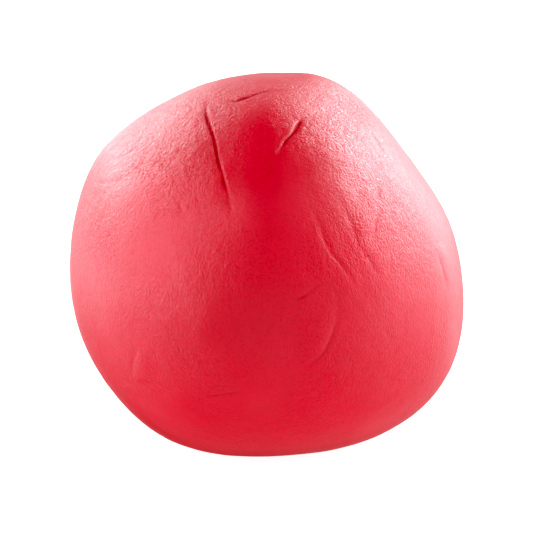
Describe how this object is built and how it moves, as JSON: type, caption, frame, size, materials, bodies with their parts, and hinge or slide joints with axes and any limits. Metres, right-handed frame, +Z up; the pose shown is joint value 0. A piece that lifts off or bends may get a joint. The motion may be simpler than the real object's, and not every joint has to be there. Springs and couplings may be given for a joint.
{
  "type": "case opening friction ball",
  "caption": "Soft gel-filled rubber ball, pressed by hand on a screwed watch case back and turned to open or close it by friction.",
  "frame": {"origin": "bottom centre of the ball's box, on the flat foot that the ball rests on", "axes": "+Z up, -Y towards the front that the picture shows, +X to that view's right; the filling plug is at the back, towards +Y"},
  "size_m": [0.0682, 0.0674, 0.0645],
  "materials": {
    "red_rubber": "satin, tacky, finely wrinkled",
    "gel": "smooth translucent gel",
    "plug_rubber": "moulded matt"
  },
  "bodies": {
    "root": {"rubber_skin": "red_rubber", "gel_filling": "gel", "filling_plug": "plug_rubber"}
  },
  "joints": []
}
